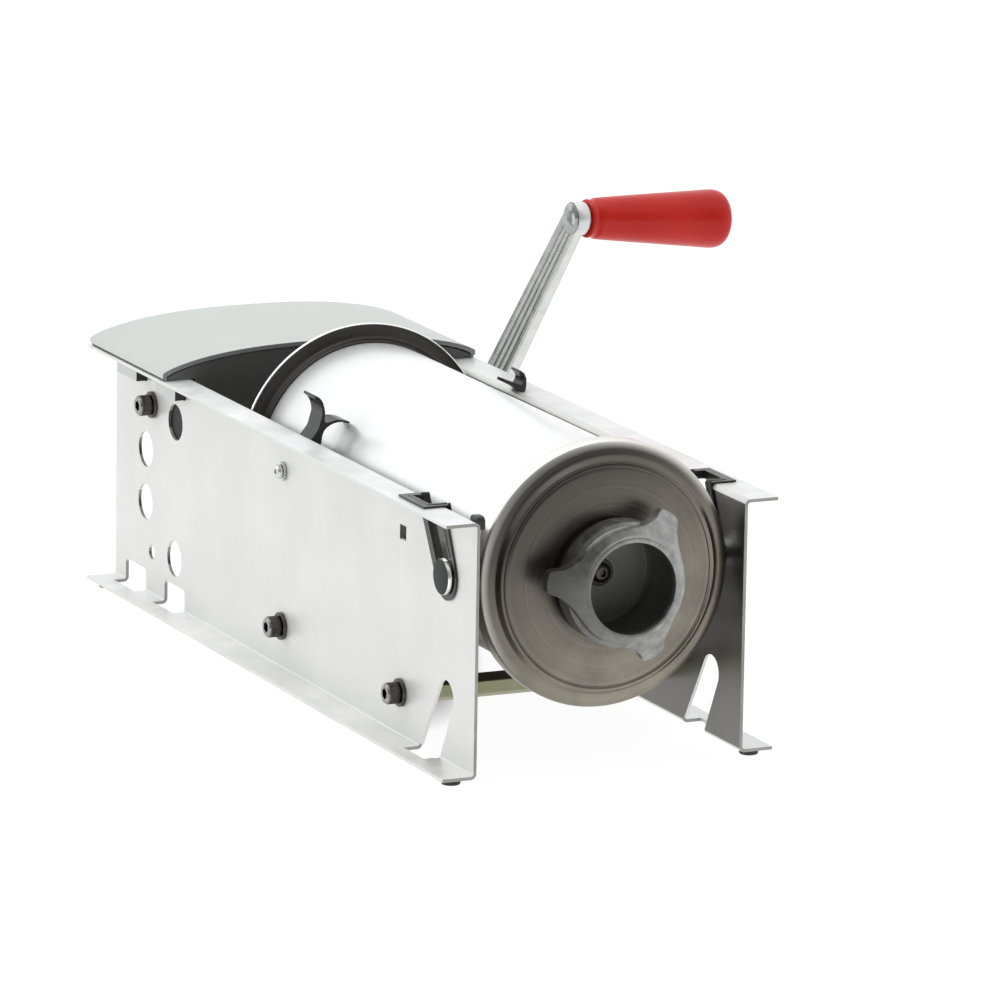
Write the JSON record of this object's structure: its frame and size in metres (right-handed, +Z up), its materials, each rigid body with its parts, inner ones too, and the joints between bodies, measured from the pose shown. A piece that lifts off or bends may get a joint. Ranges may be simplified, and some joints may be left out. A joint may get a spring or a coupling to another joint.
{
  "type": "sausage stuffer",
  "caption": "Horizontal hand-cranked sausage stuffer: a steel cylinder with an outlet ring nut lies between two channel side panels, with a rack-and-pinion piston.",
  "frame": {"origin": "on the table surface the feet stand on, under the middle of the machine's bounding box; the plane midway between the side panels is X = -0.0637", "axes": "+Z up, -Y towards the outlet and ring nut, +X towards the crank side (right, seen from behind the outlet looking along +Y)"},
  "size_m": [0.3406, 0.5754, 0.274],
  "materials": {
    "panel_steel": "satin rolled stainless sheet",
    "polished_steel": "mirror-polished stainless",
    "spun_steel": "spun and turned stainless, concentric marks",
    "cast_aluminium": "die-cast, lightly tumbled",
    "crank_alloy": "polished edges, dark cast flutes",
    "zinc_steel": "bright zinc plated",
    "olive_zinc": "olive passivated zinc",
    "dark_steel": "black oxide, slightly worn",
    "gear_steel": "machined, oiled",
    "brass_bush": "turned",
    "red_gloss": "glossy moulded",
    "cover_grey": "silver-grey, satin",
    "case_dark": "fine moulded grain",
    "black_plastic": "semi-gloss moulded",
    "foot_rubber": "matte",
    "piston_plastic": "smooth turned",
    "seal_rubber": "smooth food-grade"
  },
  "bodies": {
    "base": {"side_panel_left": "panel_steel", "side_panel_right": "panel_steel", "slot_trim_left": "black_plastic", "slot_trim_right": "black_plastic", "catch_left": "black_plastic", "catch_right": "black_plastic", "corner_bumper": "black_plastic", "rack_guide": "black_plastic", "tie_bar_front": "olive_zinc", "tie_bar_middle": "olive_zinc", "screw_front_left": "dark_steel", "washer_front_left": "dark_steel", "screw_front_right": "dark_steel", "washer_front_right": "dark_steel", "screw_middle_left": "dark_steel", "washer_middle_left": "dark_steel", "screw_middle_right": "dark_steel", "washer_middle_right": "dark_steel", "screw_rear_left": "dark_steel", "washer_rear_left": "dark_steel", "screw_rear_right": "dark_steel", "washer_rear_right": "dark_steel", "catch_washer": "dark_steel", "catch_screw": "zinc_steel", "foot_front_left": "foot_rubber", "foot_front_right": "foot_rubber", "foot_rear_left": "foot_rubber", "foot_rear_right": "foot_rubber", "cylinder_tube": "polished_steel", "cylinder_ring": "polished_steel", "outlet_spigot": "polished_steel", "trunnion_left": "polished_steel", "trunnion_right": "polished_steel", "cylinder_cap": "spun_steel", "gear_housing": "cast_aluminium", "pinion_bush_left": "brass_bush", "pinion_bush_right": "brass_bush", "crank_bush": "brass_bush", "rear_cover": "cover_grey", "gear_case": "case_dark"},
    "piston": {"piston_disc": "piston_plastic", "piston_seal": "seal_rubber", "piston_washer": "zinc_steel", "piston_screw": "dark_steel", "piston_hub": "zinc_steel", "rack": "gear_steel"},
    "pinion_shaft": {"pinion": "gear_steel", "gear_wheel": "gear_steel"},
    "crank": {"crank_shaft": "gear_steel", "crank_arm": "crank_alloy", "grip_pin": "zinc_steel"},
    "grip": {"grip": "red_gloss"},
    "ring_nut": {"ring_nut": "cast_aluminium"}
  },
  "joints": [
    {"name": "crank_spin", "type": "hinge", "parent": "base", "child": "crank", "pos_m": [0.0543, 0.1907, 0.1241], "axis": [1, 0, 0], "range_deg": [0, 3435]},
    {"name": "piston_slide", "type": "slide", "parent": "base", "child": "piston", "axis": [0, 1, 0], "range_m": [0, 0.35]},
    {"name": "pinion_spin", "type": "hinge", "parent": "base", "child": "pinion_shaft", "pos_m": [-0.0637, 0.2387, 0.09725], "axis": [1, 0, 0], "range_deg": [-1672, 0]},
    {"name": "grip_spin", "type": "hinge", "parent": "crank", "child": "grip", "pos_m": [0.0605, 0.0656, 0.2625], "axis": [0.9945, 0.0701, -0.0775], "continuous": true},
    {"name": "ring_nut_spin", "type": "hinge", "parent": "base", "child": "ring_nut", "pos_m": [-0.0637, -0.2748, 0.1165], "axis": [0, -1, 0], "range_deg": [0, 1440]}
  ],
  "couplings": [
    {"joint": "piston_slide", "follows": "crank_spin", "m_per_rad": 0.0058378},
    {"joint": "pinion_spin", "follows": "crank_spin", "ratio": -0.48649}
  ]
}
